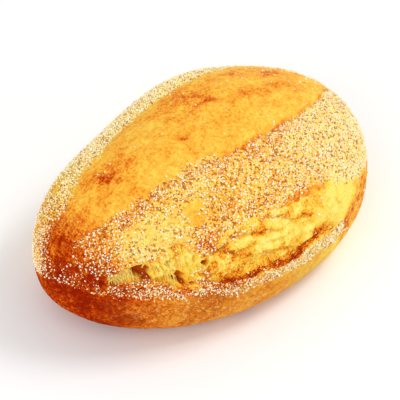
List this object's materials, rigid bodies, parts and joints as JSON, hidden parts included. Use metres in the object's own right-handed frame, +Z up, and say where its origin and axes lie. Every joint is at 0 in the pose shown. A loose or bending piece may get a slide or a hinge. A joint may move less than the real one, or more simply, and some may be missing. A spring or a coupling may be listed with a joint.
{
  "type": "bread roll",
  "caption": "Oval scored bread roll dusted with coarse semolina, with an opened score along the top and a torn burst along one side.",
  "frame": {"origin": "middle of the flat underside, under the middle of the roll's bounding box", "axes": "+Z up, X along the roll with the fuller end at +X, and the torn side facing -Y"},
  "size_m": [0.1308, 0.0886, 0.0566],
  "materials": {
    "crust": "matt baked crust dusted with semolina"
  },
  "bodies": {
    "root": {"bread_roll": "crust"}
  },
  "joints": []
}
